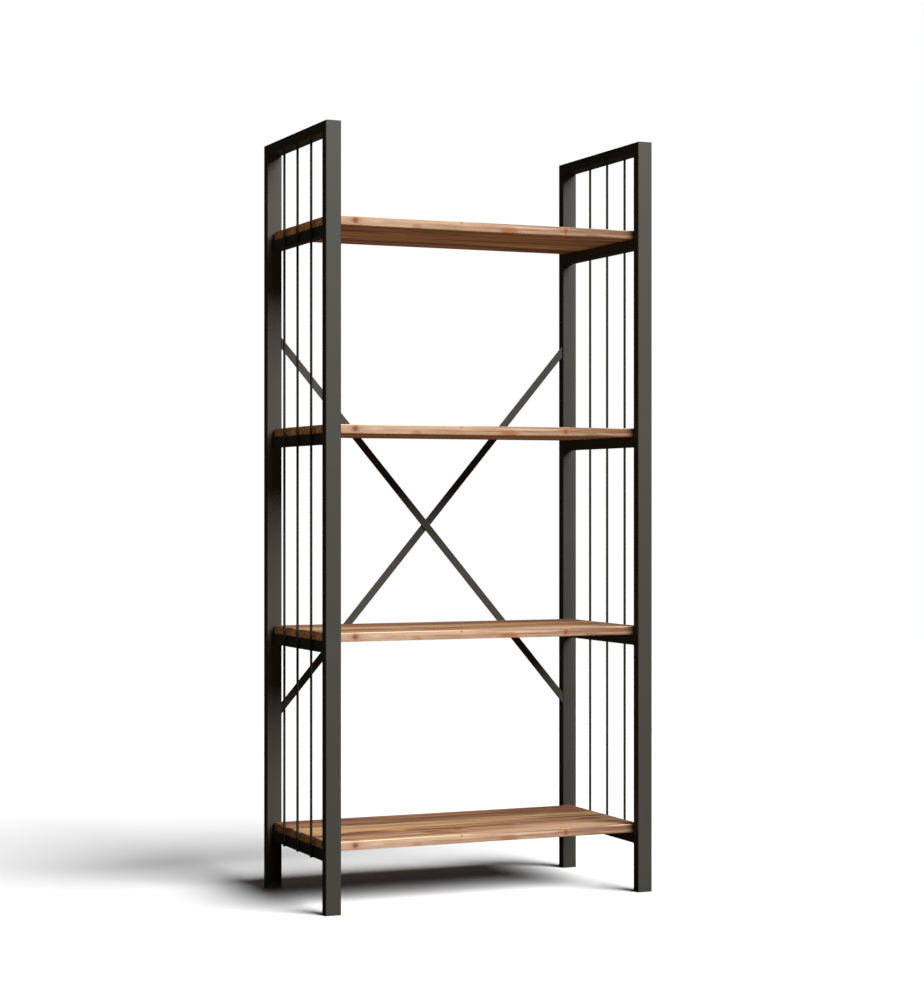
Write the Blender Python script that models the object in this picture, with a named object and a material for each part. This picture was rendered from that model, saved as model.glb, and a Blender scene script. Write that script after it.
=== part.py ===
"""Bookcase: two welded steel side frames, four loose solid-wood shelf boards and a cross brace.

Metres, +Z up. The origin is on the floor under the middle of the bookcase, +X is to the right of
someone who faces it, and its front looks along -Y. Shelves and rails count from 1 at the top.
"""

import math

import bmesh
import bpy
from mathutils import Vector

# Overall size
HEIGHT = 1.830
WIDTH = 0.848
DEPTH = 0.440

# Frame tube: the uprights and the top rails, which meet in mitred corners
FRAME_TUBE_WIDTH = 0.038
FRAME_TUBE_DEPTH = 0.025
TUBE_WALL = 0.0015
TUBE_CORNER_RADIUS = 0.002

# Shelf rails: square tube, inner faces flush with the uprights' inner faces
SHELF_RAIL_SIDE = 0.025
SHELF_COUNT = 4
LOWEST_RAIL_TOP = 0.1425
SPACE_OVER_TOP_RAIL = 0.2105

# Upright rods on the outer faces of the shelf rails
ROD_DIAMETER = 0.006
ROD_COUNT = 3
ROD_SPACING = 0.095
ROD_CHAMFER = 0.0006

# Shelf boards
BOARD_THICKNESS = 0.021
BOARD_ARRIS_RADIUS = 0.0015
BOARD_END_CLEARANCE = 0.0043
BOARD_EDGE_CLEARANCE = 0.004

# Locating studs: welded on the rails, they enter blind holes in the boards
STUD_DIAMETER = 0.008
STUD_HEIGHT = 0.009
STUD_CHAMFER = 0.001
STUD_CLEARANCE = 0.0005
STUD_FROM_RAIL_FACE = 0.0065
STUD_FROM_RAIL_END = 0.065

# Cross brace: two flat bars, riveted where they cross
BRACE_BAR_WIDTH = 0.018
BRACE_BAR_THICKNESS = 0.003
BRACE_BAR_ARRIS = 0.0004
BRACE_BELOW_TOP_SHELF = 0.2515
BRACE_ABOVE_BOTTOM_SHELF = 0.2995
RIVET_DIAMETER = 0.005
RIVET_HEAD_DIAMETER = 0.0085
RIVET_HEAD_HEIGHT = 0.0018
RIVET_DOME_STEPS = 4

# Foot plugs: plastic, pushed into the open lower ends of the uprights
PLUG_FLANGE = 0.002
PLUG_INSERT_HEIGHT = 0.018
PLUG_WALL = 0.0025
PLUG_FIN_COUNT = 4
PLUG_FIN_DEPTH = 0.0008

# Gap that is left between faces that touch, and the facets of round work
TOUCH_GAP = 0.0003
CORNER_STEPS = 4
ROUND_SIDES = 20
SHARP_ANGLE = math.radians(35)

# Places that follow from the sizes above
TOP_RAIL_UNDERSIDE = HEIGHT - FRAME_TUBE_DEPTH
HIGHEST_RAIL_TOP = TOP_RAIL_UNDERSIDE - SPACE_OVER_TOP_RAIL
SHELF_PITCH = (HIGHEST_RAIL_TOP - LOWEST_RAIL_TOP) / (SHELF_COUNT - 1)
UPRIGHT_X = WIDTH / 2 - FRAME_TUBE_WIDTH / 2
UPRIGHT_Y = DEPTH / 2 - FRAME_TUBE_DEPTH / 2
CLEAR_HALF_WIDTH = WIDTH / 2 - FRAME_TUBE_WIDTH
CLEAR_HALF_DEPTH = DEPTH / 2 - FRAME_TUBE_DEPTH
RAIL_X = CLEAR_HALF_WIDTH + SHELF_RAIL_SIDE / 2
ROD_X = CLEAR_HALF_WIDTH + SHELF_RAIL_SIDE + TOUCH_GAP + ROD_DIAMETER / 2
BOARD_HALF_LENGTH = ROD_X - ROD_DIAMETER / 2 - BOARD_END_CLEARANCE
BOARD_HALF_DEPTH = CLEAR_HALF_DEPTH - BOARD_EDGE_CLEARANCE
STUD_X = CLEAR_HALF_WIDTH + STUD_FROM_RAIL_FACE
STUD_Y = CLEAR_HALF_DEPTH - STUD_FROM_RAIL_END
BRACE_STACK = 2 * BRACE_BAR_THICKNESS + TOUCH_GAP
RIVET_COUNTERSINK = (RIVET_HEAD_DIAMETER - RIVET_DIAMETER) / 2
SIDES = {"left": -1, "right": 1}


def rail_top(number):
    """Height of the top face of shelf rail `number`, counted from 1 at the top."""
    return HIGHEST_RAIL_TOP - (number - 1) * SHELF_PITCH


# Materials

def surface(name, colour, roughness, metallic):
    material = bpy.data.materials.new(name)
    material.use_nodes = True
    shader = material.node_tree.nodes["Principled BSDF"]
    shader.inputs["Base Color"].default_value = (*colour, 1.0)
    shader.inputs["Roughness"].default_value = roughness
    shader.inputs["Metallic"].default_value = metallic
    return material


def clear_scene():
    for item in list(bpy.data.objects):
        bpy.data.objects.remove(item, do_unlink=True)


# Shapes

def rounded_loop(width, depth, radius, height):
    """Points round a rectangle with rounded corners; `height` gives z from the point's own y."""
    points = []
    corners = ((1, 1), (-1, 1), (-1, -1), (1, -1))
    for quarter, (side_x, side_y) in enumerate(corners):
        centre_x = side_x * (width / 2 - radius)
        centre_y = side_y * (depth / 2 - radius)
        for step in range(CORNER_STEPS + 1):
            turn = math.pi / 2 * (quarter + step / CORNER_STEPS)
            x = centre_x + radius * math.cos(turn)
            y = centre_y + radius * math.sin(turn)
            points.append(Vector((x, y, height(y))))
    return points


def level(z):
    """A height that is the same all round a loop."""
    return lambda y: z


def circle(radius, z):
    turns = (2 * math.pi * side / ROUND_SIDES for side in range(ROUND_SIDES))
    return [Vector((radius * math.cos(turn), radius * math.sin(turn), z)) for turn in turns]


def skinned_mesh(name, loops, capped):
    """A closed mesh over loops of equally many points.

    Capped, the first and last loops are filled. Otherwise the last loop joins the first again.
    """
    work = bmesh.new()
    rings = [[work.verts.new(point) for point in loop] for loop in loops]
    following = rings[1:] if capped else rings[1:] + rings[:1]
    for ring, next_ring in zip(rings, following):
        for side in range(len(ring)):
            after = (side + 1) % len(ring)
            work.faces.new((ring[side], ring[after], next_ring[after], next_ring[side]))
    if capped:
        work.faces.new(rings[0])
        work.faces.new(rings[-1])
    bmesh.ops.recalc_face_normals(work, faces=work.faces)
    mesh = bpy.data.meshes.new(name)
    work.to_mesh(mesh)
    work.free()
    mesh.shade_smooth()
    mesh.set_sharp_from_angle(angle=SHARP_ANGLE)
    return mesh


def tube_mesh(name, width, depth, low_end, high_end):
    """Box-section tube along Z, open at both ends, which may be cut at a slant along Y."""
    bore = (width - 2 * TUBE_WALL, depth - 2 * TUBE_WALL, TUBE_CORNER_RADIUS - TUBE_WALL)
    outside = (width, depth, TUBE_CORNER_RADIUS)
    loops = (
        rounded_loop(*outside, low_end),
        rounded_loop(*outside, high_end),
        rounded_loop(*bore, high_end),
        rounded_loop(*bore, low_end),
    )
    return skinned_mesh(name, loops, capped=False)


def turned_mesh(name, profile):
    """Solid of revolution about Z through (radius, z) pairs, flat at both ends."""
    loops = [circle(radius, z) for radius, z in profile]
    return skinned_mesh(name, loops, capped=True)


def place(name, mesh, material, location, rotation=(0, 0, 0)):
    item = bpy.data.objects.new(name, mesh)
    bpy.context.scene.collection.objects.link(item)
    if not mesh.materials:
        mesh.materials.append(material)
    item.location = location
    item.rotation_euler = rotation
    return item


def cutter(name, mesh, location, rotation=(0, 0, 0)):
    item = bpy.data.objects.new(name, mesh)
    bpy.context.scene.collection.objects.link(item)
    item.location = location
    item.rotation_euler = rotation
    item.hide_render = True
    item.display_type = "WIRE"
    return item


def cut(item, tool):
    modifier = item.modifiers.new("cut_" + tool.name, "BOOLEAN")
    modifier.operation = "DIFFERENCE"
    modifier.solver = "EXACT"
    modifier.object = tool


def round_edges(item, radius, segments):
    modifier = item.modifiers.new("arris", "BEVEL")
    modifier.width = radius
    modifier.segments = segments
    modifier.limit_method = "ANGLE"


# Side frames

def mitre(end):
    """Slant of a mitred tube end: full length at the outer face, cut back 45 degrees inwards."""
    return lambda y: math.copysign(1, end) * (abs(end) + y - FRAME_TUBE_DEPTH / 2 - TOUCH_GAP)


def side_frame(side, outward, steel):
    x = outward * UPRIGHT_X
    foot = PLUG_FLANGE + TOUCH_GAP
    upright = tube_mesh("upright", FRAME_TUBE_WIDTH, FRAME_TUBE_DEPTH, level(foot), mitre(HEIGHT))
    place(side + "_front_upright", upright, steel, (x, -UPRIGHT_Y, 0), (0, 0, math.pi))
    place(side + "_rear_upright", upright, steel, (x, UPRIGHT_Y, 0))

    half = DEPTH / 2
    top = tube_mesh("top_rail", FRAME_TUBE_WIDTH, FRAME_TUBE_DEPTH, mitre(-half), mitre(half))
    place(side + "_top_rail", top, steel, (x, 0, HEIGHT - FRAME_TUBE_DEPTH / 2), (math.pi / 2, 0, 0))

    end = CLEAR_HALF_DEPTH - TOUCH_GAP
    rail = tube_mesh("shelf_rail", SHELF_RAIL_SIDE, SHELF_RAIL_SIDE, level(-end), level(end))
    for number in range(1, SHELF_COUNT + 1):
        middle = (outward * RAIL_X, 0, rail_top(number) - SHELF_RAIL_SIDE / 2)
        place(f"{side}_shelf_rail_{number}", rail, steel, middle, (math.pi / 2, 0, 0))

    rod_foot = rail_top(SHELF_COUNT) - SHELF_RAIL_SIDE
    rod_length = TOP_RAIL_UNDERSIDE - TOUCH_GAP - rod_foot
    radius = ROD_DIAMETER / 2
    rod = turned_mesh("rod", (
        (radius - ROD_CHAMFER, 0),
        (radius, ROD_CHAMFER),
        (radius, rod_length),
    ))
    for index in range(ROD_COUNT):
        y = (index - (ROD_COUNT - 1) / 2) * ROD_SPACING
        place(f"{side}_rod_{index + 1}", rod, steel, (outward * ROD_X, y, rod_foot))


def foot_plug_mesh():
    """Flange the size of the upright, then a finned cup that fills its bore."""
    bore_width = FRAME_TUBE_WIDTH - 2 * (TUBE_WALL + TOUCH_GAP)
    bore_depth = FRAME_TUBE_DEPTH - 2 * (TUBE_WALL + TOUCH_GAP)
    radius = TUBE_CORNER_RADIUS - TUBE_WALL

    def insert_loop(inset, z):
        return rounded_loop(bore_width - 2 * inset, bore_depth - 2 * inset, radius, level(z))

    loops = [
        rounded_loop(FRAME_TUBE_WIDTH, FRAME_TUBE_DEPTH, TUBE_CORNER_RADIUS, level(0)),
        rounded_loop(FRAME_TUBE_WIDTH, FRAME_TUBE_DEPTH, TUBE_CORNER_RADIUS, level(PLUG_FLANGE)),
        insert_loop(PLUG_FIN_DEPTH, PLUG_FLANGE),
    ]
    fin_pitch = PLUG_INSERT_HEIGHT / PLUG_FIN_COUNT
    for fin in range(1, PLUG_FIN_COUNT + 1):
        tip = PLUG_FLANGE + fin * fin_pitch - fin_pitch / 4
        loops.append(insert_loop(0, tip))
        loops.append(insert_loop(PLUG_FIN_DEPTH, tip + fin_pitch / 4))
    rim = PLUG_FLANGE + PLUG_INSERT_HEIGHT
    loops.append(insert_loop(PLUG_FIN_DEPTH + PLUG_WALL, rim))
    loops.append(insert_loop(PLUG_FIN_DEPTH + PLUG_WALL, PLUG_FLANGE))
    return skinned_mesh("foot_plug", loops, capped=True)


def foot_plugs(plastic):
    plug = foot_plug_mesh()
    for side, outward in SIDES.items():
        for end, y in (("front", -UPRIGHT_Y), ("rear", UPRIGHT_Y)):
            place(f"{side}_{end}_foot_plug", plug, plastic, (outward * UPRIGHT_X, y, 0))


# Shelves

def stud_places(number):
    """Name part and foot of each stud on the two rails of shelf `number`."""
    for side, outward in SIDES.items():
        for end, y in (("front", -STUD_Y), ("rear", STUD_Y)):
            yield f"{side}_{end}", (outward * STUD_X, y, rail_top(number) + TOUCH_GAP)


def locating_studs(steel):
    radius = STUD_DIAMETER / 2
    stud = turned_mesh("stud", (
        (radius, 0),
        (radius, STUD_HEIGHT - STUD_CHAMFER),
        (radius - STUD_CHAMFER, STUD_HEIGHT),
    ))
    for number in range(1, SHELF_COUNT + 1):
        for corner, foot in stud_places(number):
            place(f"shelf_{number}_stud_{corner}", stud, steel, foot)


def board_mesh():
    """Plain board, its underside at z = 0 and its middle over the origin."""
    work = bmesh.new()
    bmesh.ops.create_cube(work, size=1)
    size = Vector((2 * BOARD_HALF_LENGTH, 2 * BOARD_HALF_DEPTH, BOARD_THICKNESS))
    bmesh.ops.scale(work, verts=work.verts, vec=size)
    bmesh.ops.translate(work, verts=work.verts, vec=(0, 0, BOARD_THICKNESS / 2))
    mesh = bpy.data.meshes.new("board")
    work.to_mesh(mesh)
    work.free()
    return mesh


def shelf_boards(wood):
    board = board_mesh()
    hole_radius = STUD_DIAMETER / 2 + STUD_CLEARANCE
    hole_depth = STUD_HEIGHT + 2 * STUD_CLEARANCE
    hole = turned_mesh("stud_hole", ((hole_radius, -hole_depth), (hole_radius, hole_depth)))
    for number in range(1, SHELF_COUNT + 1):
        underside = rail_top(number) + TOUCH_GAP
        item = place(f"shelf_board_{number}", board, wood, (0, 0, underside))
        round_edges(item, BOARD_ARRIS_RADIUS, segments=3)
        for corner, (x, y, _) in stud_places(number):
            cut(item, cutter(f"hole_{number}_{corner}", hole, (x, y, underside)))


# Cross brace

def brace_bar_mesh(name, run, rise):
    """Flat bar from (-run, -rise) to (run, rise) in XZ, its ends cut upright.

    It goes from y = 0 to y = its thickness.
    """
    half_cut = BRACE_BAR_WIDTH / 2 * math.hypot(run, rise) / run
    outline = (
        (-run, -rise - half_cut),
        (run, rise - half_cut),
        (run, rise + half_cut),
        (-run, -rise + half_cut),
    )
    work = bmesh.new()
    face = work.faces.new([work.verts.new((x, 0, z)) for x, z in outline])
    grown = bmesh.ops.extrude_face_region(work, geom=[face])
    back = [part for part in grown["geom"] if isinstance(part, bmesh.types.BMVert)]
    bmesh.ops.translate(work, verts=back, vec=(0, BRACE_BAR_THICKNESS, 0))
    bmesh.ops.recalc_face_normals(work, faces=work.faces)
    mesh = bpy.data.meshes.new(name)
    work.to_mesh(mesh)
    work.free()
    return mesh


def rivet_mesh():
    """Rivet along +Z: countersunk head in the front bar, domed tail behind the rear bar."""
    shank = RIVET_DIAMETER / 2
    head = RIVET_HEAD_DIAMETER / 2
    tail = BRACE_STACK + TOUCH_GAP
    profile = [(head, 0), (shank, RIVET_COUNTERSINK), (shank, tail)]
    for step in range(RIVET_DOME_STEPS):
        turn = math.pi / 2 * step / RIVET_DOME_STEPS
        profile.append((head * math.cos(turn), tail + RIVET_HEAD_HEIGHT * math.sin(turn)))
    return turned_mesh("rivet", profile)


def rivet_hole_mesh():
    """Hole for the rivet, a gap wider all round, countersunk at the front and open at both ends."""
    shank = RIVET_DIAMETER / 2 + TOUCH_GAP
    head = RIVET_HEAD_DIAMETER / 2 + TOUCH_GAP
    return turned_mesh("rivet_hole", (
        (head + TOUCH_GAP, -TOUCH_GAP),
        (shank, RIVET_COUNTERSINK),
        (shank, BRACE_STACK + BRACE_BAR_THICKNESS),
    ))


def cross_brace(steel):
    low = rail_top(SHELF_COUNT) + BRACE_ABOVE_BOTTOM_SHELF
    high = rail_top(1) - BRACE_BELOW_TOP_SHELF
    middle = (low + high) / 2
    run = CLEAR_HALF_WIDTH - TOUCH_GAP
    rise = (high - low) / 2 * run / CLEAR_HALF_WIDTH
    front = CLEAR_HALF_DEPTH + TOUCH_GAP
    quarter_turn = (-math.pi / 2, 0, 0)
    hole = rivet_hole_mesh()
    bars = (
        ("brace_bar_front", -rise, front),
        ("brace_bar_rear", rise, front + BRACE_BAR_THICKNESS + TOUCH_GAP),
    )
    for name, bar_rise, y in bars:
        bar = place(name, brace_bar_mesh(name, run, bar_rise), steel, (0, y, middle))
        round_edges(bar, BRACE_BAR_ARRIS, segments=2)
        cut(bar, cutter("rivet_hole_" + name, hole, (0, front, middle), quarter_turn))
    place("brace_rivet", rivet_mesh(), steel, (0, front, middle), quarter_turn)


def main():
    clear_scene()
    steel = surface("powder_coated_steel", (0.052, 0.051, 0.046), 0.48, 0.0)
    zinc = surface("zinc_plated_steel", (0.55, 0.56, 0.57), 0.35, 1.0)
    wood = surface("oiled_acacia", (0.42, 0.25, 0.15), 0.50, 0.0)
    plastic = surface("black_plastic", (0.02, 0.02, 0.02), 0.55, 0.0)
    for side, outward in SIDES.items():
        side_frame(side, outward, steel)
    foot_plugs(plastic)
    locating_studs(zinc)
    shelf_boards(wood)
    cross_brace(steel)


main()
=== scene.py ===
"""Looks of the bookcase: glued-up acacia boards, coated steel frames with their welds, floor and light.

Metres, +Z up, in the frame of the CAD model. Shelves count from 1 at the top, staves from the front.
"""

import math

import bmesh
import bpy
import numpy as np
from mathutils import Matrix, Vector

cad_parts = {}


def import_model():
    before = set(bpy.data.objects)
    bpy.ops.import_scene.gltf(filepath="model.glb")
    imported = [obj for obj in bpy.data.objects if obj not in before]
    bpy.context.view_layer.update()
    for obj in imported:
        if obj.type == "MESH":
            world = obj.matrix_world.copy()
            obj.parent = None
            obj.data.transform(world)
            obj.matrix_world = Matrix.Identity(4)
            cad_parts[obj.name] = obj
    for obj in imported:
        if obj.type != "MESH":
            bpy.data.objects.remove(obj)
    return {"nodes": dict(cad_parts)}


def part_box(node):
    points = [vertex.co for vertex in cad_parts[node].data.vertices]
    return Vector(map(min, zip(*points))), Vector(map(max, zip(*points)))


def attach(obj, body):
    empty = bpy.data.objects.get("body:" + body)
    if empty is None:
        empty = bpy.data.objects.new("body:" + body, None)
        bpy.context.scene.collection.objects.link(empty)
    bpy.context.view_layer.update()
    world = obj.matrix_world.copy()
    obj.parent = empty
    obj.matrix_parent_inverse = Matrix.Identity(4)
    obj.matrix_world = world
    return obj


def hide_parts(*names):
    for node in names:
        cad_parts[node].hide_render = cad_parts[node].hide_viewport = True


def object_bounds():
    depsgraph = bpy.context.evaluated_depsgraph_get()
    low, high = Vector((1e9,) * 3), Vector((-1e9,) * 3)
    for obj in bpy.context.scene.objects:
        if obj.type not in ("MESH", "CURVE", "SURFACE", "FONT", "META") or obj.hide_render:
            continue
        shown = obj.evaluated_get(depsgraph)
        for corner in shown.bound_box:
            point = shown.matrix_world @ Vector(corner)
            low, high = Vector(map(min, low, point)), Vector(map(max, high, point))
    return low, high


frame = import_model()
CAD_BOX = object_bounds()

SHELF_BODIES = {1: "top_shelf", 2: "upper_shelf", 3: "lower_shelf", 4: "bottom_shelf"}
SIDES = ("left", "right")
ENDS = ("front", "rear")
ROD_COUNT = 3

# Signs of x and y at the corners of a section, in the order in which its outline passes them
CORNERS = np.array(((1, 1), (-1, 1), (-1, -1), (1, -1)))
# Edges that turn by more than this stay sharp
SHARP_ANGLE = math.radians(38.0)
MERGE_DISTANCE = 1e-6


def measured(node):
    """Lowest corner, highest corner and size of a CAD node, as arrays."""
    low, high = (np.array(corner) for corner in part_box(node))
    return low, high, high - low


def rgb(red, green, blue):
    return (red, green, blue, 1.0)


# Shader maths

class Value:
    """A socket of a shader. Arithmetic on it adds Math nodes."""

    def __init__(self, shader, socket):
        self.shader = shader
        self.socket = socket

    def math(self, operation, *values):
        return self.shader.node("ShaderNodeMath", {"operation": operation}, dict(enumerate(values)))

    def __add__(self, other):
        return self.math("ADD", self, other)

    __radd__ = __add__

    def __sub__(self, other):
        return self.math("SUBTRACT", self, other)

    def __rsub__(self, other):
        return self.math("SUBTRACT", other, self)

    def __mul__(self, other):
        return self.math("MULTIPLY", self, other)

    __rmul__ = __mul__

    def __truediv__(self, other):
        return self.math("DIVIDE", self, other)

    def __rtruediv__(self, other):
        return self.math("DIVIDE", other, self)

    def __mod__(self, other):
        return self.math("MODULO", self, other)

    def __rmod__(self, other):
        return self.math("MODULO", other, self)

    def __abs__(self):
        return self.math("ABSOLUTE", self)

    def root(self):
        return self.math("SQRT", self)

    def most(self, other):
        return self.math("MAXIMUM", self, other)

    def below(self, other):
        return self.math("LESS_THAN", self, other)

    def rise(self, low, high):
        """0 at `low`, 1 at `high`, smooth between and flat beyond; low may be the larger."""
        return self.shader.node(
            "ShaderNodeMapRange",
            {"interpolation_type": "SMOOTHSTEP"},
            {"Value": self, "From Min": low, "From Max": high},
        )


class Shader:
    """The node tree of a material or of the world, written as expressions."""

    def __init__(self, owner, surface="Principled BSDF"):
        owner.use_nodes = True
        self.owner = owner
        self.tree = owner.node_tree
        self.surface = self.tree.nodes[surface]

    def node(self, kind, settings=None, inputs=None, output=0):
        made = self.tree.nodes.new(kind)
        for key, value in (settings or {}).items():
            if key == "stops":
                self.set_stops(made.color_ramp, value)
            else:
                setattr(made, key, value)
        for key, value in (inputs or {}).items():
            self.feed(made.inputs[key], value)
        return Value(self, made.outputs[output])

    def feed(self, socket, value):
        if isinstance(value, Value):
            self.tree.links.new(value.socket, socket)
        else:
            socket.default_value = value

    def finish(self, **inputs):
        """Feeds the surface's sockets, whose names are written with _ for a space."""
        for key, value in inputs.items():
            self.feed(self.surface.inputs[key.replace("_", " ")], value)
        return self.owner

    @staticmethod
    def set_stops(ramp, stops):
        ramp.interpolation = "CONSTANT"
        while len(ramp.elements) < len(stops):
            ramp.elements.new(1.0)
        for element, (place, colour) in zip(ramp.elements, stops):
            element.position = place
            element.color = (*colour, 1.0)

    def place(self):
        """The point in the object's own coordinates."""
        return self.node("ShaderNodeTexCoord", output="Object")

    def parts(self, vector):
        split = self.node("ShaderNodeSeparateXYZ", {}, {0: vector}).socket.node
        return [Value(self, socket) for socket in split.outputs]

    def vector(self, x, y, z):
        return self.node("ShaderNodeCombineXYZ", {}, {0: x, 1: y, 2: z})

    def vector_math(self, operation, a, b):
        return self.node("ShaderNodeVectorMath", {"operation": operation}, {0: a, 1: b})

    def reach(self, point, middle, radii):
        """Distance from the middle of an ellipsoid, 1 on its surface."""
        away = self.vector_math("DIVIDE", self.vector_math("SUBTRACT", point, middle), radii)
        return self.node("ShaderNodeVectorMath", {"operation": "LENGTH"}, {0: away}, "Value")

    def noise(self, point, cells, detail, roughness=0.5, distortion=0.0):
        """Noise with its own number of cells per metre along each axis."""
        inputs = {"Vector": self.vector_math("MULTIPLY", point, cells), "Scale": 1.0, "Detail": detail}
        inputs.update({"Roughness": roughness, "Distortion": distortion})
        return self.node("ShaderNodeTexNoise", {}, inputs)

    def steps(self, value, colours):
        """One colour for each equal share of the way from 0 to 1."""
        stops = [(index / len(colours), colour) for index, colour in enumerate(colours)]
        return self.node("ShaderNodeValToRGB", {"stops": stops}, {0: value})

    def blend(self, share, a, b, mode="MIX"):
        settings = {"data_type": "RGBA", "blend_type": mode}
        return self.node("ShaderNodeMix", settings, {0: share, 6: a, 7: b}, 2)

    def relief(self, height, distance, strength):
        inputs = {"Height": height, "Distance": distance, "Strength": strength}
        return self.node("ShaderNodeBump", {}, inputs, "Normal")


def material_shader(name):
    return Shader(bpy.data.materials.new(name))


# Wood

STAVE_COUNT = 4
# Colours of the staves, front to rear: pale wood and brown bands
STAVE_PALE = (
    (0.43, 0.254, 0.140),
    (0.45, 0.245, 0.118),
    (0.52, 0.312, 0.152),
    (0.37, 0.178, 0.096),
)
STAVE_DARK = (
    (0.15, 0.062, 0.026),
    (0.12, 0.045, 0.017),
    (0.16, 0.075, 0.030),
    (0.11, 0.039, 0.019),
)
LINE_BROWN = rgb(0.072, 0.024, 0.010)
KNOT_BROWN = rgb(0.115, 0.034, 0.010)
END_BROWN = rgb(0.24, 0.125, 0.060)
GLUE_BROWN = rgb(0.05, 0.02, 0.01)
REDDISH = rgb(0.26, 0.086, 0.034)
BROWN = rgb(0.13, 0.052, 0.024)
HONEY = rgb(0.30, 0.175, 0.062)
CREAM = rgb(0.50, 0.345, 0.215)
# The long edges are painted paler than the faces, partly as paler planed wood and partly as painted light,
# with a painted highlight on a strip along each top arris; the ends are painted lighter than end grain is,
# as painted light
EDGE_PALE_AND_LIT_GAIN = (1.98, 2.28, 2.62)
END_PAINTED_LIGHT_GAIN = (1.7, 1.8, 1.7)
# Distances from an edge, for its paler colour and painted highlight, or from a glue line, at which its
# colour begins and is full
EDGE_LIT_BLEND = (0.0040, 0.0012)
GLUE_BLEND = (0.0008, 0.0002)

# Heart of the log that each stave was sawn from: across and up from the stave's middle, and a share
# of GRAIN_SLIDE that keeps the grain of neighbours apart
STAVE_HEARTS = (
    (0.020, -0.045, 0.31),
    (-0.035, -0.060, 0.77),
    (0.030, -0.090, 0.13),
    (-0.020, -0.050, 0.55),
)
# A ramp's colours stay within 0 to 1, so hearts go through it as shares of a span
HEART_SPAN = 0.1
HEART_ZERO = (0.5, 1.0)
GRAIN_SLIDE = (9.0, 3.0)
HEART_WANDER = (0.11, 0.06)
RING_SPACING = 0.0105
RING_WOBBLE = 0.010
# Room below a board that still counts as its own height, not as that of the board underneath
LEVEL_ROOM = 0.1

# Noises in the wood: cells per metre along, across and up
WANDER = {"cells": (1.7, 3.0, 3.0), "detail": 2.0}
WOBBLE = {"cells": (6.0, 45.0, 45.0), "detail": 3.0}
FIBRES = {"cells": (14.0, 620.0, 620.0), "detail": 3.0, "roughness": 0.6}
# Layers of the figure: a noise, and the heights at which the layer begins and is full
UNEVEN = ({"cells": (1.0, 30.0, 30.0), "detail": 1.0}, (0.30, 0.60))
BANDS = ({"cells": (1.3, 22.0, 22.0), "detail": 3.0, "roughness": 0.6, "distortion": 0.4}, (0.40, 0.62))
STREAKS = ({"cells": (2.0, 80.0, 80.0), "detail": 2.0, "roughness": 0.5, "distortion": 0.3}, (0.49, 0.60))
LINES = ({"cells": (3.5, 230.0, 230.0), "detail": 2.0, "roughness": 0.6}, (0.50, 0.70))
PORES = ({"cells": (85.0, 1500.0, 1500.0), "detail": 1.0}, (0.60, 0.70))
# Share of a ring at which its late wood begins and is full, and the same for a face's turn to the ends
LATE_WOOD = (0.10, 0.95)
END_FACE = (0.55, 0.85)

# Knots: middle (x, y, height in the board) and radii
KNOTS = (
    ((-0.340, -0.191, 0.0115), (0.0095, 0.030, 0.0075)),
    ((0.204, -0.191, 0.0105), (0.0070, 0.022, 0.0065)),
    ((-0.071, -0.191, 0.0185), (0.0015, 0.008, 0.0019)),
    ((-0.040, -0.094, 0.0210), (0.0150, 0.011, 0.0300)),
    ((0.150, 0.191, 0.0100), (0.0060, 0.025, 0.0060)),
    ((-0.265, 0.100, 0.0000), (0.0090, 0.007, 0.0060)),
)
# Share of a knot's radius at which its core and halo begin and are full
KNOT_CORE = (1.10, 0.45)
KNOT_HALO = (2.9, 0.6)
KNOT_RAGGED = 0.8
KNOT_PUSH = 0.012

# Marks in the wood: middle, radii, colour and strength
MARKS = (
    ((0.160, -0.059, 0.0210), (0.180, 0.0090, 0.014), BROWN, 0.85),
    ((-0.255, -0.056, 0.0210), (0.065, 0.0130, 0.014), BROWN, 0.85),
    ((0.335, -0.049, 0.0210), (0.038, 0.0140, 0.014), BROWN, 0.85),
    ((-0.090, -0.128, 0.0210), (0.060, 0.0220, 0.014), REDDISH, 0.55),
    ((0.000, 0.084, 0.0210), (0.600, 0.0150, 0.030), BROWN, 0.75),
    ((0.365, 0.150, 0.0210), (0.050, 0.0300, 0.014), REDDISH, 0.60),
    ((0.000, 0.006, 0.0210), (0.600, 0.0035, 0.010), HONEY, 0.85),
    ((0.230, -0.128, 0.0210), (0.120, 0.0300, 0.008), CREAM, 0.40),
    ((-0.150, 0.045, 0.0210), (0.220, 0.0160, 0.008), CREAM, 0.45),
    ((0.050, -0.191, 0.0050), (0.028, 0.0300, 0.009), REDDISH, 0.90),
    ((-0.196, -0.191, 0.0050), (0.014, 0.0300, 0.007), REDDISH, 0.50),
    ((0.010, -0.191, 0.0085), (0.040, 0.0300, 0.0022), BROWN, 0.60),
    ((-0.010, -0.191, 0.0130), (0.050, 0.0300, 0.0018), REDDISH, 0.60),
    ((0.110, -0.191, 0.0095), (0.040, 0.0300, 0.0020), REDDISH, 0.60),
    ((0.345, -0.191, 0.0090), (0.035, 0.0300, 0.0050), REDDISH, 0.55),
    ((0.275, -0.191, 0.0030), (0.024, 0.0300, 0.006), BROWN, 0.45),
    ((-0.295, -0.191, 0.0120), (0.020, 0.0200, 0.004), CREAM, 0.60),
    ((0.120, -0.191, 0.0160), (0.090, 0.0200, 0.003), CREAM, 0.55),
)
# Share of a mark's radius at which it begins and is full, and how far its outline strays
MARK_FADE = (1.3, 0.4)
MARK_STRAY = (0.06, 0.012, 0.005)


def layer(shader, grain, noise, limits):
    return shader.noise(grain, **noise).rise(*limits)


def knots(shader, point, wobble):
    """Cores and halos of all knots, 0 to 1: the nearest knot counts, and its outline is ragged."""
    reaches = [shader.reach(point, *knot) + (wobble - 0.5) * KNOT_RAGGED for knot in KNOTS]
    core = reaches[0].rise(*KNOT_CORE)
    halo = reaches[0].rise(*KNOT_HALO)
    for reach in reaches[1:]:
        core = core.most(reach.rise(*KNOT_CORE))
        halo = halo.most(reach.rise(*KNOT_HALO))
    return core, halo


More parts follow.
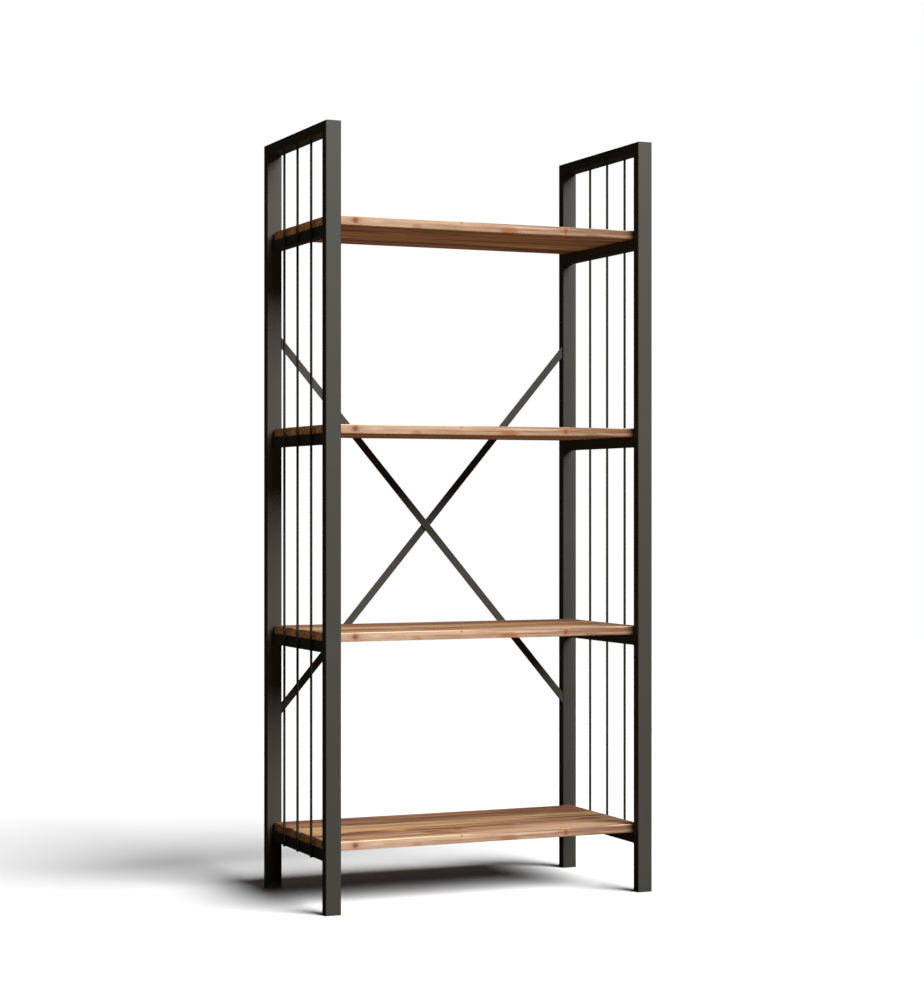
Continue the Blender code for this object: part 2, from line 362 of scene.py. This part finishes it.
def ring_distance(hearts, in_stave, level, wander, wobble):
    """Distance from the stave's heart, which wanders from side to side and up and down."""
    heart_y, heart_z = hearts
    side = (heart_y - HEART_ZERO[0]) * HEART_SPAN + (wander - 0.5) * HEART_WANDER[0]
    depth = (heart_z - HEART_ZERO[1]) * HEART_SPAN + (wander - 0.5) * HEART_WANDER[1]
    from_y = in_stave - side
    from_z = level - depth
    return (from_y * from_y + from_z * from_z).root() + (wobble - 0.5) * RING_WOBBLE


def oiled_acacia():
    """Solid wood: growth rings round a wandering heart, so that faces, edges and ends agree."""
    shader = material_shader("oiled_acacia")
    low, high, size = measured("shelf_board_4")
    pitch = measured("shelf_board_3")[0][2] - low[2]
    half_stave = size[1] / STAVE_COUNT / 2
    x, y, z = shader.parts(shader.place())
    level = (z - (low[2] - LEVEL_ROOM)) % pitch - LEVEL_ROOM
    across = (y - low[1]) / size[1]
    in_stave = (y - low[1]) % (2 * half_stave) - half_stave
    shares = [
        (side / HEART_SPAN + HEART_ZERO[0], up / HEART_SPAN + HEART_ZERO[1], slide)
        for side, up, slide in STAVE_HEARTS
    ]
    *hearts, slide = shader.parts(shader.steps(across, shares))
    grain = shader.vector(x + slide * GRAIN_SLIDE[0], y + slide * GRAIN_SLIDE[1], level)

    wander = shader.noise(grain, **WANDER)
    wobble = shader.noise(grain, **WOBBLE)
    knot_core, knot_halo = knots(shader, shader.vector(x, y, level), wobble)
    distance = ring_distance(hearts, in_stave, level, wander, wobble)
    rings = (distance + knot_halo * KNOT_PUSH) / RING_SPACING
    late_wood = (rings % 1.0).rise(*LATE_WOOD) * layer(shader, grain, *UNEVEN)
    bands = layer(shader, grain, *BANDS)
    streaks = layer(shader, grain, *STREAKS)
    lines = layer(shader, grain, *LINES)
    fibres = shader.noise(grain, **FIBRES)
    pores = layer(shader, grain, *PORES)

    pale = shader.steps(across, STAVE_PALE)
    dark = shader.steps(across, STAVE_DARK)
    colour = shader.blend(bands * 0.50 + late_wood * 0.50, pale, dark)
    strayed = shader.vector(
        x + (wander - 0.5) * MARK_STRAY[0],
        y + (wobble - 0.5) * MARK_STRAY[1],
        level + (wobble - 0.5) * MARK_STRAY[2],
    )
    for middle, radii, tint, strength in MARKS:
        share = shader.reach(strayed, middle, radii).rise(*MARK_FADE) * strength
        colour = shader.blend(share, colour, tint)
    colour = shader.blend(streaks * 0.68 + lines * 0.22, colour, LINE_BROWN)
    colour = shader.blend(knot_halo * 0.50, colour, REDDISH)
    colour = shader.blend(knot_core * 0.85, colour, KNOT_BROWN)

    normal = shader.node("ShaderNodeTexCoord", output="Normal")
    end_grain = abs(shader.parts(normal)[0]).rise(*END_FACE)
    lit_edge_band = abs(y).rise(high[1] - EDGE_LIT_BLEND[0], high[1] - EDGE_LIT_BLEND[1])
    glue = abs(in_stave).rise(half_stave - GLUE_BLEND[0], half_stave - GLUE_BLEND[1])
    shade = (fibres * 0.36 - pores * 0.22) * (1.0 - end_grain * 0.7) + 0.92
    colour = shader.blend(1.0, colour, shader.vector(shade, shade * 1.04, shade * 1.12), "MULTIPLY")
    colour = shader.blend(end_grain * 0.45, colour, END_BROWN)
    # Painted light: the long edges made paler, with a painted highlight on the strip along each top arris
    colour = shader.blend(lit_edge_band, colour, rgb(*EDGE_PALE_AND_LIT_GAIN), "MULTIPLY")
    # Painted light: the ends made lighter than end grain is
    colour = shader.blend(end_grain, colour, rgb(*END_PAINTED_LIGHT_GAIN), "MULTIPLY")
    colour = shader.blend(glue * 0.7, colour, GLUE_BROWN)
    height = late_wood * -0.5 + fibres * 0.8 - pores * 0.9
    return shader.finish(
        Base_Color=colour,
        Roughness=0.70 + fibres * 0.14 + pores * 0.1,
        Specular_IOR_Level=0.12,
        Normal=shader.relief(height, distance=0.00012, strength=0.7),
    )


# Finishes of metal and plastic

# Shade and gloss of the powder coat: satin on the tubes; on the thin rods the same coat made darker as
# painted shade, and flatter
TUBE_COAT = (1.0, 0.2)
ROD_SHADED_COAT = (0.8, 0.03)
COAT_THIN = np.array((0.0190, 0.0186, 0.0144))
COAT_THICK = np.array((0.0245, 0.0240, 0.0186))
ZINC_DULL = rgb(0.46, 0.47, 0.48)
ZINC_BRIGHT = rgb(0.66, 0.67, 0.68)
PLASTIC_DARK = rgb(0.012, 0.012, 0.012)
PLASTIC_WORN = rgb(0.022, 0.022, 0.022)


def even_noise(shader, cells, detail):
    """Noise with the same number of cells per metre every way."""
    return shader.noise(shader.place(), (cells, cells, cells), detail)


def powder_coat(name, shade, gloss):
    """Dark powder coat with a fine orange peel and a faint cloud of thickness."""
    shader = material_shader(name)
    peel = even_noise(shader, 520.0, detail=2.0)
    cloud = even_noise(shader, 7.0, detail=3.0)
    return shader.finish(
        Base_Color=shader.blend(cloud, rgb(*COAT_THIN * shade), rgb(*COAT_THICK * shade)),
        Roughness=0.40 + cloud * 0.05 + peel * 0.04,
        Specular_IOR_Level=gloss,
        Normal=shader.relief(peel, distance=0.00006, strength=0.6),
    )


def zinc_plate():
    """Plated steel with a fine spangle."""
    shader = material_shader("zinc_plate")
    spangle = even_noise(shader, 260.0, detail=3.0)
    return shader.finish(
        Base_Color=shader.blend(spangle, ZINC_DULL, ZINC_BRIGHT),
        Metallic=1.0,
        Roughness=0.26 + spangle * 0.18,
        Normal=shader.relief(spangle, distance=0.00004, strength=0.5),
    )


def foot_plastic():
    """Moulded black plastic with a fine spark-eroded grain."""
    shader = material_shader("foot_plastic")
    grain = even_noise(shader, 900.0, detail=2.0)
    return shader.finish(
        Base_Color=shader.blend(grain, PLASTIC_DARK, PLASTIC_WORN),
        Roughness=0.55 + grain * 0.12,
        Normal=shader.relief(grain, distance=0.00008, strength=0.6),
    )


# Surfaces

def loft_faces(stations, around, closed):
    """Quads between neighbouring loops of a stack; closed, the last loop meets the first."""
    along = np.arange(stations if closed else stations - 1)[:, None]
    across = np.arange(around)[None, :]
    following = (along + 1) % stations
    after = (across + 1) % around
    corners = (
        along * around + across,
        along * around + after,
        following * around + after,
        following * around + across,
    )
    return np.stack(np.broadcast_arrays(*corners), axis=-1).reshape(-1, 4).tolist()


def loft(loops, closed=False):
    """Points and faces of a skin over loops (stations x points x 3); open stacks get end caps."""
    stations, around, _ = loops.shape
    faces = loft_faces(stations, around, closed)
    if not closed:
        faces.append(list(range(around)))
        faces.append(list(range((stations - 1) * around, stations * around)))
    return loops.reshape(-1, 3), faces


def joined(skins):
    """Points and faces of several skins as one."""
    points = [skin_points for skin_points, _ in skins]
    firsts = np.cumsum([0] + [len(some) for some in points]).tolist()
    faces = [[corner + first for corner in face] for first, (_, some) in zip(firsts, skins) for face in some]
    return np.concatenate(points), faces


def build(name, skin, material, body):
    """A piece from points and faces, its faces turned outwards, riding on a body."""
    points, faces = skin
    mesh = bpy.data.meshes.new(name)
    mesh.from_pydata(points.tolist(), [], faces)
    work = bmesh.new()
    work.from_mesh(mesh)
    bmesh.ops.remove_doubles(work, verts=work.verts, dist=MERGE_DISTANCE)
    bmesh.ops.recalc_face_normals(work, faces=work.faces)
    work.to_mesh(mesh)
    work.free()
    mesh.shade_smooth()
    mesh.set_sharp_from_angle(angle=SHARP_ANGLE)
    mesh.materials.append(material)
    item = bpy.data.objects.new(name, mesh)
    bpy.context.scene.collection.objects.link(item)
    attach(item, body)
    return item


def circle(points):
    """Points round a circle of radius 1, as (cos a, sin a)."""
    turns = np.linspace(0.0, 2 * math.pi, points, endpoint=False)
    return np.stack((np.cos(turns), np.sin(turns)), axis=-1)


def rounded_rectangle(half, radius, steps):
    """Points and outward normals at the four corners (4 x steps + 1 x 2), going round: a corner's
    centre is r inside both sides, and its points are the centre plus r (cos a, sin a)."""
    turns = np.linspace(0.0, math.pi / 2, steps + 1) + np.arange(4)[:, None] * math.pi / 2
    normals = np.stack((np.cos(turns), np.sin(turns)), axis=-1)
    centres = CORNERS * (np.array(half) - radius)
    return centres[:, None, :] + radius * normals, normals


# Shelf boards

BOARD_ARRIS = 0.0028
ARRIS_STEPS = 5
GLUE_GROOVE_WIDTH = 0.0012
GLUE_GROOVE_DEPTH = 0.0006
BOARD_STATION = 0.012
# Height of the sanding waves, and their radians per metre along and across
SANDING_WAVE = 0.00006
SANDING_TURNS = (31.0, 47.0)
STUD_HOLE_CLEARANCE = 0.0005
SOCKET_POINTS = 32


def board_section(half_depth, half_thickness):
    """Closed outline across a board (y, height): flat faces, round arrises, a V at each glue line."""
    arcs, _ = rounded_rectangle((half_depth, half_thickness), BOARD_ARRIS, ARRIS_STEPS)
    over = glue_lines(half_depth, half_thickness)
    under = glue_lines(half_depth, -half_thickness)
    return np.concatenate((arcs[0], over, arcs[1], arcs[2], under, arcs[3]))


def glue_lines(half_depth, face):
    """Points of the V grooves on one face, in the order in which the outline passes them: at each
    joint the near edge, the bottom, half a groove on and sunk, and the far edge."""
    side = math.copysign(1.0, face)
    joints = half_depth * (1 - 2 * np.arange(1, STAVE_COUNT) / STAVE_COUNT)
    steps = np.array((0.5, 0.0, -0.5)) * GLUE_GROOVE_WIDTH
    y = side * (joints[:, None] + steps)
    height = face - side * np.array((0.0, GLUE_GROOVE_DEPTH, 0.0))
    return np.stack((y, np.broadcast_to(height, y.shape)), axis=-1).reshape(-1, 2)


def board_skin(low, high):
    """The section carried along x; over the last arris at each end it shrinks by r (1 - cos a)
    while it goes on by r sin a, and a slow wave of sanding lowers the faces by a few hundredths."""
    half = (high - low) / 2
    section = board_section(half[1], half[2])
    turns = np.linspace(0.0, math.pi / 2, ARRIS_STEPS + 1)
    flat = half[0] - BOARD_ARRIS
    middle = np.linspace(-flat, flat, round(2 * flat / BOARD_STATION) + 1)[1:-1]
    end = flat + BOARD_ARRIS * np.sin(turns)
    end_inset = BOARD_ARRIS * (1 - np.cos(turns))
    along = np.concatenate((-end[::-1], middle, end))
    inset = np.concatenate((end_inset[::-1], np.zeros(len(middle)), end_inset))
    shrink = (half[1:] - inset[:, None]) / half[1:]
    loops = np.empty((len(along), len(section), 3))
    loops[..., 0] = along[:, None]
    loops[..., 1:] = section * shrink[:, None, :]
    wave = np.sin(loops[..., 0] * SANDING_TURNS[0]) * np.sin(loops[..., 1] * SANDING_TURNS[1]) - 1.0
    loops[..., 2] += SANDING_WAVE * wave * np.sign(loops[..., 2])
    return loft(loops + (low + high) / 2)


def stud_sockets(number):
    """Round plugs where the studs of one shelf enter its board, to be cut from it."""
    skins = []
    for side in SIDES:
        for end in ENDS:
            low, high, size = measured(f"shelf_{number}_stud_{side}_{end}")
            radius = size[0] / 2 + STUD_HOLE_CLEARANCE
            heights = np.array((low[2] - size[2], high[2] + 2 * STUD_HOLE_CLEARANCE))
            loops = np.empty((2, SOCKET_POINTS, 3))
            loops[..., :2] = circle(SOCKET_POINTS) * radius + (low + high)[:2] / 2
            loops[..., 2] = heights[:, None]
            skins.append(loft(loops))
    return joined(skins)


def cut_away(item, tool):
    """Takes the tool's shape out of a piece for good, and removes the tool."""
    cut = item.modifiers.new("cut", "BOOLEAN")
    cut.operation = "DIFFERENCE"
    cut.solver = "EXACT"
    cut.object = tool
    bpy.context.view_layer.update()
    graph = bpy.context.evaluated_depsgraph_get()
    finished = bpy.data.meshes.new_from_object(item.evaluated_get(graph))
    item.modifiers.clear()
    item.data = finished
    bpy.data.objects.remove(tool, do_unlink=True)


def shelf_boards(wood):
    """The four finished boards, each with its stud sockets, in place of their CAD nodes."""
    for number, body in SHELF_BODIES.items():
        node = f"shelf_board_{number}"
        low, high, _ = measured(node)
        board = build(f"{body}_board", board_skin(low, high), wood, body)
        sockets = build(f"{body}_sockets", stud_sockets(number), wood, body)
        cut_away(board, sockets)
        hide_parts(node)


# Welds

TUBE_CORNER_RADIUS = 0.002
CORNER_STEPS = 4
# Bead in a corner: its leg and how far it reaches into the steel
FILLET_LEG = 0.0022
FILLET_SINK = 0.0003
FILLET_STEPS = 5
# Ripples of a bead: length, share of the leg, stations for each; fewest stations, size at the ends
RIPPLE_PITCH = 0.0016
RIPPLE_HEIGHT = 0.12
RIPPLE_STATIONS = 4
FEWEST_STATIONS = 8
BEAD_END = 0.35
# Seam of a mitre: how far under the surface it stays, its depth and its half width
SEAM_SINK = 0.00002
SEAM_DEEP = 0.0009
SEAM_HALF_WIDTH = 0.0006
# Tacks and collars of the rods
TACK_RADII = (0.0013, 0.0016, 0.0048)
TACK_RINGS = 6
TACK_POINTS = 10
TACK_OUT = 0.3
TACK_ASIDE = 0.95
COLLAR_HEIGHT = 0.0022
COLLAR_WIDTH = 0.0018
COLLAR_POINTS = 24
# Weld of a brace bar: from the bar's end to its middle, its half length and its points
BRACE_WELD_UP = 0.010
BRACE_WELD_HALF = 0.008
BRACE_WELD_POINTS = 6


def ripple(length):
    """Distances along a bead, 0 to 1, and how far it swells at each: 1 + h sin of a quarter turn
    for each station, and less towards both ends."""
    stations = max(FEWEST_STATIONS, round(length / RIPPLE_PITCH) * RIPPLE_STATIONS)
    along = np.linspace(0.0, 1.0, stations + 1)
    swell = 1.0 + RIPPLE_HEIGHT * np.sin(along * stations * math.pi / 2)
    ends = np.minimum(1.0, np.minimum(along, 1.0 - along) * length / FILLET_LEG + BEAD_END)
    return along, swell * ends


def resampled(at, reached, values):
    """Rows of values, known at the distances reached, at other distances."""
    return np.stack([np.interp(at, reached, column) for column in values.T], axis=-1)


def fillet(path, outward, onward):
    """Convex bead in the corner along a path: a quarter round from the wall to the rail.

    `outward` points along the wall, away from the corner, and `onward` away from the wall.
    """
    steps = np.linalg.norm(np.diff(path, axis=0), axis=1)
    reached = np.concatenate(([0.0], np.cumsum(steps)))
    along, swell = ripple(reached[-1])
    centre = resampled(along * reached[-1], reached, path)
    away = resampled(along * reached[-1], reached, outward)
    away /= np.linalg.norm(away, axis=1)[:, None]
    turns = np.linspace(0.0, math.pi / 2, FILLET_STEPS + 1)
    bead = np.stack((np.cos(turns), np.sin(turns)), axis=-1) * FILLET_LEG
    root = ((-FILLET_SINK, FILLET_LEG / 2), (-FILLET_SINK, -FILLET_SINK), (FILLET_LEG / 2, -FILLET_SINK))
    profile = np.concatenate((bead, root)) * swell[:, None, None]
    loops = centre[:, None, :] + profile[..., :1] * away[:, None, :] + profile[..., 1:] * onward
    return loft(loops)


def rail_path(low, high, inner):
    """Way over a rail's end, round its outer corners and back under it, as points (x, z) and their
    outward directions (+-sin a, cos a), with a from 0 on top to a half turn underneath."""
    outer = low[0] if inner == high[0] else high[0]
    side = math.copysign(1.0, outer - inner)
    quarter = np.linspace(0.0, math.pi / 2, CORNER_STEPS + 1)
    turns = np.concatenate((quarter, math.pi - quarter[::-1]))
    outward = np.stack((side * np.sin(turns), np.cos(turns)), axis=-1)
    upper = (outer - side * TUBE_CORNER_RADIUS, high[2] - TUBE_CORNER_RADIUS)
    lower = (outer - side * TUBE_CORNER_RADIUS, low[2] + TUBE_CORNER_RADIUS)
    points = np.repeat((upper, lower), CORNER_STEPS + 1, axis=0) + TUBE_CORNER_RADIUS * outward
    points = np.concatenate((((inner, high[2]),), points, ((inner, low[2]),)))
    return points, np.concatenate((((0.0, 1.0),), outward, ((0.0, -1.0),)))


def rail_welds(side):
    """Beads where the shelf rails meet the uprights: over, outside and under each rail."""
    skins = []
    for number in SHELF_BODIES:
        low, high, _ = measured(f"{side}_shelf_rail_{number}")
        points, directions = rail_path(low, high, high[0] if side == "left" else low[0])
        for end in ENDS:
            wall_low, wall_high, _ = measured(f"{side}_{end}_upright")
            wall = wall_high[1] if end == "front" else wall_low[1]
            path = np.insert(points, 1, wall, axis=1)
            outward = np.insert(directions, 1, 0.0, axis=1)
            onward = np.array((0.0, 1.0 if end == "front" else -1.0, 0.0))
            skins.append(fillet(path, outward, onward))
    return skins


def corner_seams(side):
    """Flush seams on the mitres at the top: a lens carried round the tube's outline on the
    45 degree plane between the top rail and each upright."""
    skins = []
    top = measured(f"{side}_top_rail")[1][2]
    lens = np.array((
        (-SEAM_SINK, 0.0),
        (-2 * SEAM_SINK, SEAM_HALF_WIDTH),
        (-SEAM_DEEP, SEAM_HALF_WIDTH / 2),
        (-SEAM_DEEP, -SEAM_HALF_WIDTH / 2),
        (-2 * SEAM_SINK, -SEAM_HALF_WIDTH),
    ))
    for end in ENDS:
        low, high, size = measured(f"{side}_{end}_upright")
        outer = low[1] if end == "front" else high[1]
        slope = 1.0 if end == "front" else -1.0
        corners, normals = rounded_rectangle(size[:2] / 2, TUBE_CORNER_RADIUS, CORNER_STEPS)
        x, towards_edge = corners.reshape(-1, 2).T
        normal_x, normal_edge = normals.reshape(-1, 2).T
        inwards = size[1] / 2 - towards_edge
        path = np.stack(((low[0] + high[0]) / 2 + x, outer + slope * inwards, top - inwards), axis=-1)
        out = np.stack((normal_x, -slope * normal_edge, normal_edge), axis=-1)
        out /= np.linalg.norm(out, axis=1)[:, None]
        across = np.array((0.0, slope, 1.0)) / math.sqrt(2)
        loops = path[:, None, :] + lens[:, :1] * out[:, None, :] + lens[:, 1:] * across
        loops = np.clip(loops, np.array(CAD_BOX[0]) + SEAM_SINK, np.array(CAD_BOX[1]) - SEAM_SINK)
        skins.append(loft(loops, closed=True))
    return skins


def tack(centre):
    """A small drop of weld: an ellipsoid (cos a cos b, cos a sin b, sin a), cut flat at its poles."""
    rise = np.linspace(-math.pi / 2, math.pi / 2, TACK_RINGS + 2)[1:-1, None]
    ring = circle(TACK_POINTS)
    unit = np.empty((TACK_RINGS, TACK_POINTS, 3))
    unit[..., :2] = np.cos(rise)[..., None] * ring
    unit[..., 2] = np.sin(rise)
    return loft(unit * TACK_RADII + centre)


def collar(middle, top, radius):
    """Ring of weld round a rod's upper end: a skirt that narrows downwards, turned about the rod."""
    section = np.array((
        (radius * 0.8, 0.0),
        (radius + COLLAR_WIDTH, 0.0),
        (radius + COLLAR_WIDTH * 0.45, -COLLAR_HEIGHT * 0.45),
        (radius, -COLLAR_HEIGHT),
        (radius * 0.8, -COLLAR_HEIGHT),
    ))
    loops = np.empty((len(section), COLLAR_POINTS, 3))
    loops[..., :2] = middle + circle(COLLAR_POINTS) * section[:, None, :1]
    loops[..., 2] = top + section[:, 1:]
    return loft(loops)


def rod_welds(side):
    """Two tacks where each rod crosses a rail, and a collar under the top rail."""
    skins = []
    outward = -1.0 if side == "left" else 1.0
    for index in range(1, ROD_COUNT + 1):
        low, high, size = measured(f"{side}_rod_{index}")
        middle = (low + high) / 2
        radius = size[1] / 2
        for number in SHELF_BODIES:
            rail_low, rail_high, _ = measured(f"{side}_shelf_rail_{number}")
            face = rail_low[0] if side == "left" else rail_high[0]
            height = (rail_low[2] + rail_high[2]) / 2
            for edge in (-1.0, 1.0):
                x = face + outward * radius * TACK_OUT
                skins.append(tack(np.array((x, middle[1] + edge * radius * TACK_ASIDE, height))))
        skins.append(collar(middle[:2], high[2], radius))
    return skins


def brace_welds():
    """Upright beads behind each end of the two brace bars, on the uprights' inner faces."""
    skins = []
    for name in ("brace_bar_front", "brace_bar_rear"):
        low, high, _ = measured(name)
        rises_right = name == "brace_bar_rear"
        for side, inward in (("left", 1.0), ("right", -1.0)):
            wall = measured(f"{side}_rear_upright")[1 if side == "left" else 0][0]
            at_top = (side == "right") == rises_right
            middle = high[2] - BRACE_WELD_UP if at_top else low[2] + BRACE_WELD_UP
            path = np.empty((BRACE_WELD_POINTS, 3))
            path[:, :2] = wall, high[1]
            path[:, 2] = np.linspace(middle - BRACE_WELD_HALF, middle + BRACE_WELD_HALF, BRACE_WELD_POINTS)
            away = np.tile((0.0, 1.0, 0.0), (BRACE_WELD_POINTS, 1))
            skins.append(fillet(path, away, np.array((inward, 0.0, 0.0))))
    return skins


def frame_welds(coat):
    """All welds, coated like the steel: one piece for each side frame and one for the brace."""
    for side in SIDES:
        skins = rail_welds(side) + corner_seams(side) + rod_welds(side)
        build(f"{side}_frame_welds", joined(skins), coat, "frame")
    build("brace_welds", joined(brace_welds()), coat, "frame")


# Finishes of the CAD nodes

def finish_nodes(coat):
    """Every CAD node that stays gets its finish from what its name says it is."""
    # The rods' coat is a darker copy of the tubes' coat: painted shade
    rod_coat = powder_coat("rod_coat", *ROD_SHADED_COAT)
    finishes = {"stud": zinc_plate(), "foot_plug": foot_plastic(), "_rod_": rod_coat}
    for name, item in frame["nodes"].items():
        if "shelf_board" in name:
            continue
        material = next((finish for word, finish in finishes.items() if word in name), coat)
        item.data.materials.clear()
        item.data.materials.append(material)
        if name == "brace_rivet" or "_rod_" in name or "stud" in name:
            item.data.shade_smooth()
            item.data.set_sharp_from_angle(angle=SHARP_ANGLE)


# Floor, light and camera

FLOOR_REACH = 8.0
FLOOR_SHADE = 0.9
# Dark sheet under the floor, where the floor lies in the bookcase's own shadow
SHADOWED_LOW = (-0.75, -0.24)
SHADOWED_HIGH = (0.46, 0.85)
SHADOWED_HEIGHT = -0.003
SHADOWED_SHADE = 0.02

# Azimuths count from the front (-Y) to the right
KEY_AZIMUTH = math.radians(23.0)
KEY_ELEVATION = math.radians(31.0)
KEY_DISTANCE = 200.0
KEY_HALF_WIDTH = math.radians(24.0)
KEY_HALF_HEIGHT = math.radians(14.0)
KEY_IRRADIANCE = 9.0
FLOOR_KEY_AZIMUTH = math.radians(28.0)
FLOOR_KEY_ELEVATION = math.radians(33.0)
# Pieces that shade the floor's own key, by a part of their names
FLOOR_SHADING = ("lower_shelf_board", "bottom_shelf_board", "upright", "rail_3", "rail_4")

# Azimuth and irradiance of the level fills
BOARD_FILL = (math.radians(140.0), 2.4)
METAL_FILL = (math.radians(128.0), 7.0)
FILL_ANGLE = math.radians(6.0)
FILL_DISTANCE = 4.0

WHITE = rgb(1.0, 1.0, 1.0)
FLOOR_BOUNCE = rgb(0.46, 0.33, 0.22)
FLOOR_GLEAM = rgb(0.03, 0.03, 0.03)
SKY_LIGHT = rgb(0.027, 0.027, 0.027)

CAMERA_PLACE = (-2.272, -5.217, 0.951)
CAMERA_TURN = (math.radians(90.054), 0.0, math.radians(-23.66))
CAMERA_LENS = 83.4
CAMERA_SENSOR = 36.0
CAMERA_CLIP = 200.0


def towards(azimuth, elevation):
    """Unit vector at an azimuth and an elevation: (sin a cos e, -cos a cos e, sin e)."""
    return Vector((
        math.sin(azimuth) * math.cos(elevation),
        -math.cos(azimuth) * math.cos(elevation),
        math.sin(elevation),
    ))


def gathered(name, items):
    """A collection of objects that a lamp lights, or that shade it."""
    collection = bpy.data.collections.new(name)
    for item in items:
        collection.objects.link(item)
    return collection


def lamp(name, kind, direction, distance, lit, **settings):
    """A lamp in a direction from the bookcase's foot, which lights only the given objects."""
    data = bpy.data.lights.new(name, kind)
    for key, value in settings.items():
        setattr(data, key, value)
    item = bpy.data.objects.new(name, data)
    item.location = direction * distance
    item.rotation_euler = direction.to_track_quat("Z", "Y").to_euler()
    item.visible_camera = False
    item.light_linking.receiver_collection = gathered(f"{name}_lit", lit)
    bpy.context.scene.collection.objects.link(item)
    return item


def ground_sheet(name, low, high, height, shade):
    """A level rectangle of the studio, one even grey."""
    corners = (low, (high[0], low[1]), high, (low[0], high[1]))
    mesh = bpy.data.meshes.new(name)
    mesh.from_pydata([(*corner, height) for corner in corners], [], [(0, 1, 2, 3)])
    shader = material_shader(name)
    surface = shader.finish(Base_Color=rgb(shade, shade, shade), Roughness=0.5, Specular_IOR_Level=0.1)
    mesh.materials.append(surface)
    item = bpy.data.objects.new(name, mesh)
    bpy.context.scene.collection.objects.link(item)
    item.visible_glossy = False
    return item


def floor():
    """White floor. The world below lights the object in its place, except where the dark sheet is."""
    low = (-FLOOR_REACH, -FLOOR_REACH)
    high = (FLOOR_REACH, FLOOR_REACH)
    ground = ground_sheet("studio_floor", low, high, 0.0, FLOOR_SHADE)
    ground.visible_diffuse = False
    ground.visible_shadow = False
    sheet = ground_sheet("shadowed_ground", SHADOWED_LOW, SHADOWED_HIGH, SHADOWED_HEIGHT, SHADOWED_SHADE)
    sheet.visible_camera = False
    return ground


def key_settings():
    """A wide ellipse, seen from the bookcase at its half width and half height as angles, with the
    power that gives its irradiance there: irradiance / solid angle x pi x area."""
    width = 2 * KEY_DISTANCE * math.tan(KEY_HALF_WIDTH)
    height = 2 * KEY_DISTANCE * math.tan(KEY_HALF_HEIGHT)
    area = math.pi / 4 * width * height
    solid_angle = area / KEY_DISTANCE ** 2
    power = KEY_IRRADIANCE / solid_angle * math.pi * area
    return {"shape": "ELLIPSE", "size": width, "size_y": height, "energy": power}


def lights(ground, pieces):
    """A wide soft key from the front right, and weak level fills on the back and the right side.

    The floor has a key of its own, which only the uprights, the two lowest shelves and their rails
    shade.
    """
    key_place = towards(KEY_AZIMUTH, KEY_ELEVATION)
    lamp("key_light", "AREA", key_place, KEY_DISTANCE, pieces, **key_settings())
    floor_place = towards(FLOOR_KEY_AZIMUTH, FLOOR_KEY_ELEVATION)
    on_floor = lamp("floor_light", "AREA", floor_place, KEY_DISTANCE, [ground], **key_settings())
    shading = [item for item in pieces if any(word in item.name for word in FLOOR_SHADING)]
    on_floor.light_linking.blocker_collection = gathered("floor_shading", shading)
    boards = [item for item in pieces if item.name.endswith("_board")]
    metal = [item for item in pieces if item not in boards]
    for name, lit, (azimuth, irradiance) in (("boards", boards, BOARD_FILL), ("metal", metal, METAL_FILL)):
        settings = {"energy": irradiance, "angle": FILL_ANGLE}
        fill = lamp(f"{name}_fill", "SUN", towards(azimuth, 0.0), FILL_DISTANCE, lit, **settings)
        fill.visible_glossy = False


def world():
    """White behind everything, a faint sky, and light from below in place of the floor's."""
    shader = Shader(bpy.data.worlds.new("studio_white"), "Background")
    direction = shader.node("ShaderNodeTexCoord", output="Generated")
    from_below = shader.parts(direction)[2].below(0.0)
    glossy_ray = shader.node("ShaderNodeLightPath", output="Is Glossy Ray")
    camera_ray = shader.node("ShaderNodeLightPath", output="Is Camera Ray")
    ground_light = shader.blend(glossy_ray, FLOOR_BOUNCE, FLOOR_GLEAM)
    light = shader.blend(from_below, SKY_LIGHT, ground_light)
    bpy.context.scene.world = shader.finish(Color=shader.blend(camera_ray, light, WHITE))
    bpy.context.scene.view_settings.view_transform = "Standard"


def camera():
    """Long lens at chest height, to the left of the bookcase's front."""
    lens = bpy.data.cameras.new("camera")
    lens.lens = CAMERA_LENS
    lens.sensor_width = CAMERA_SENSOR
    lens.clip_end = CAMERA_CLIP
    eye = bpy.data.objects.new("camera", lens)
    eye.location = CAMERA_PLACE
    eye.rotation_euler = CAMERA_TURN
    bpy.context.scene.collection.objects.link(eye)
    bpy.context.scene.camera = eye


def main():
    wood = oiled_acacia()
    coat = powder_coat("powder_coat", *TUBE_COAT)
    shelf_boards(wood)
    frame_welds(coat)
    finish_nodes(coat)
    pieces = [item for item in bpy.data.objects if item.type == "MESH"]
    lights(floor(), pieces)
    world()
    camera()


main()

bpy.context.view_layer.update()
